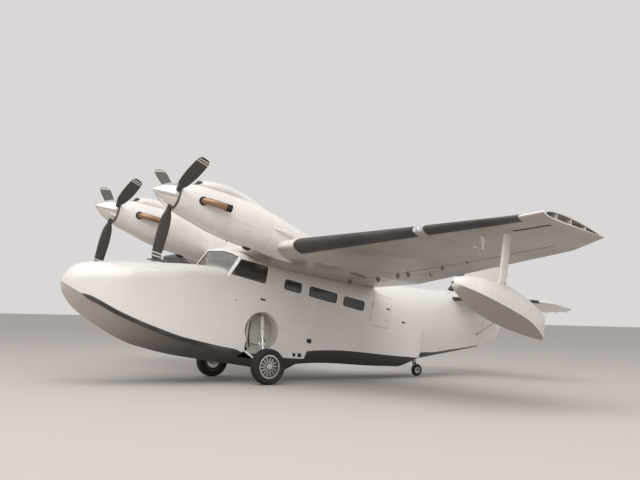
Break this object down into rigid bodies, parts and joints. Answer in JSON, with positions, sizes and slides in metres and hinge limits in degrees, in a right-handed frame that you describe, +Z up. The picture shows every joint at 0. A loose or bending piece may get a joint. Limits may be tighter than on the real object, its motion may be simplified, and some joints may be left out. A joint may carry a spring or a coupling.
{
  "type": "twin-turboprop amphibious flying boat",
  "caption": "High-wing twin-turboprop amphibian with a stepped boat hull, wing-tip floats, braced tailplane, side cabin door and retracting wheels, parked tail down.",
  "frame": {"origin": "On the ground under the middle of the aircraft's outline, on its centreline.", "axes": "+X aft, the nose points to -X; +Y to the right wing tip; +Z up from the ground."},
  "size_m": [12.0748, 15.2, 4.2475],
  "materials": {
    "white_paint": "gloss warm white paint on aluminium sheet",
    "bottom_paint": "satin dark grey bottom paint",
    "glazing": "smoke-tinted acrylic",
    "panel_plastic": "matt black",
    "seat_leather": "tan leather",
    "polished_aluminium": "polished",
    "blade_paint": "satin dark grey paint",
    "exhaust_steel": "heat-tinted stainless steel",
    "gear_steel": "satin",
    "tyre_rubber": "ribbed tyre rubber"
  },
  "bodies": {
    "airframe": {"bow": "white_paint", "hull_bottom": "bottom_paint", "cabin_side_left": "white_paint", "cabin_side_right": "white_paint", "cabin_roof": "white_paint", "cockpit_canopy": "white_paint", "tail_section": "white_paint", "windscreen_left": "glazing", "windscreen_right": "glazing", "cockpit_window_left": "glazing", "cockpit_window_right": "glazing", "cabin_glazing_left": "glazing", "cabin_glazing_right": "glazing", "instrument_panel": "panel_plastic", "pilot_seats": "seat_leather", "wing_center": "white_paint", "wing_outer_left": "white_paint", "wing_outer_right": "white_paint", "wing_float_left": "white_paint", "wing_float_right": "white_paint", "float_strut_left": "white_paint", "float_strut_right": "white_paint", "nacelle_left": "white_paint", "nacelle_right": "white_paint", "engine_left": "exhaust_steel", "engine_right": "exhaust_steel", "fin": "white_paint", "stabilizer_left": "white_paint", "stabilizer_right": "white_paint", "tailplane_strut_left": "white_paint", "tailplane_strut_right": "white_paint", "main_gear_leg_left": "white_paint", "main_gear_leg_right": "white_paint", "tail_wheel_post": "gear_steel"},
    "propeller_left_body": {"propeller_left": "blade_paint", "spinner_left": "polished_aluminium"},
    "propeller_right_body": {"propeller_right": "blade_paint", "spinner_right": "polished_aluminium"},
    "main_wheel_left_body": {"main_rim_left": "white_paint", "main_tyre_left": "tyre_rubber"},
    "main_wheel_right_body": {"main_rim_right": "white_paint", "main_tyre_right": "tyre_rubber"},
    "tail_fork_body": {"tail_wheel_fork": "gear_steel"},
    "tail_wheel_body": {"tail_rim": "white_paint", "tail_tyre": "tyre_rubber"},
    "rudder_body": {"rudder": "white_paint"},
    "elevator_body": {"elevator_left": "white_paint", "elevator_right": "white_paint"},
    "aileron_left_body": {"aileron_left": "white_paint"},
    "aileron_right_body": {"aileron_right": "white_paint"},
    "flap_inner_left_body": {"flap_inner_left": "white_paint"},
    "flap_inner_right_body": {"flap_inner_right": "white_paint"},
    "flap_outer_left_body": {"flap_outer_left": "white_paint"},
    "flap_outer_right_body": {"flap_outer_right": "white_paint"},
    "door_body": {"cabin_door": "white_paint"}
  },
  "joints": [
    {"name": "propeller_left_spin", "type": "hinge", "parent": "airframe", "child": "propeller_left_body", "pos_m": [-4.50206, -1.556, 3.59244], "axis": [-0.9748, 0, 0.2233], "continuous": true},
    {"name": "propeller_right_spin", "type": "hinge", "parent": "airframe", "child": "propeller_right_body", "pos_m": [-4.50206, 1.556, 3.59244], "axis": [-0.9748, 0, 0.2233], "continuous": true},
    {"name": "main_wheel_left_spin", "type": "hinge", "parent": "airframe", "child": "main_wheel_left_body", "pos_m": [-2.1402, -1.238, 0.3635], "axis": [0, 1, 0], "continuous": true},
    {"name": "main_wheel_right_spin", "type": "hinge", "parent": "airframe", "child": "main_wheel_right_body", "pos_m": [-2.1402, 1.238, 0.3635], "axis": [0, 1, 0], "continuous": true},
    {"name": "tail_wheel_swivel", "type": "hinge", "parent": "airframe", "child": "tail_fork_body", "pos_m": [2.7998, 0, 0.33], "axis": [0, 0, 1], "continuous": true},
    {"name": "tail_wheel_spin", "type": "hinge", "parent": "tail_fork_body", "child": "tail_wheel_body", "pos_m": [2.8798, 0, 0.145], "axis": [0, 1, 0], "continuous": true},
    {"name": "rudder_hinge", "type": "hinge", "parent": "airframe", "child": "rudder_body", "pos_m": [5.27263, 0, 2.08796], "axis": [0.1959, 0, 0.9806], "range_deg": [-25, 25]},
    {"name": "elevator_hinge", "type": "hinge", "parent": "airframe", "child": "elevator_body", "pos_m": [4.85692, 0, 1.74272], "axis": [0, 1, 0], "range_deg": [-28, 22]},
    {"name": "aileron_left_hinge", "type": "hinge", "parent": "airframe", "child": "aileron_left_body", "pos_m": [0.19491, -5.43, 2.57643], "axis": [0.0135, 0.9956, -0.0925], "range_deg": [-20, 20]},
    {"name": "aileron_right_hinge", "type": "hinge", "parent": "airframe", "child": "aileron_right_body", "pos_m": [0.19491, 5.43, 2.57643], "axis": [-0.0135, 0.9956, 0.0925], "range_deg": [-20, 20]},
    {"name": "flap_inner_left_hinge", "type": "hinge", "parent": "airframe", "child": "flap_inner_left_body", "pos_m": [0.28742, -1.58, 2.28667], "axis": [0.056, 0.9984, -0.0086], "range_deg": [0, 40]},
    {"name": "flap_inner_right_hinge", "type": "hinge", "parent": "airframe", "child": "flap_inner_right_body", "pos_m": [0.28742, 1.58, 2.28667], "axis": [-0.056, 0.9984, 0.0086], "range_deg": [0, 40]},
    {"name": "flap_outer_left_hinge", "type": "hinge", "parent": "airframe", "child": "flap_outer_left_body", "pos_m": [0.22897, -3.295, 2.3769], "axis": [0.0153, 0.9956, -0.0929], "range_deg": [0, 40]},
    {"name": "flap_outer_right_hinge", "type": "hinge", "parent": "airframe", "child": "flap_outer_right_body", "pos_m": [0.22897, 3.295, 2.3769], "axis": [-0.0153, 0.9956, 0.0929], "range_deg": [0, 40]},
    {"name": "cabin_door_hinge", "type": "hinge", "parent": "airframe", "child": "door_body", "pos_m": [0.88461, -0.77, 1.61358], "axis": [-0.1959, 0, -0.9806], "range_deg": [0, 90]}
  ],
  "couplings": [
    {"joint": "aileron_right_hinge", "follows": "aileron_left_hinge", "ratio": -1},
    {"joint": "flap_inner_right_hinge", "follows": "flap_inner_left_hinge", "ratio": 1},
    {"joint": "flap_outer_left_hinge", "follows": "flap_inner_left_hinge", "ratio": 1},
    {"joint": "flap_outer_right_hinge", "follows": "flap_inner_left_hinge", "ratio": 1}
  ]
}
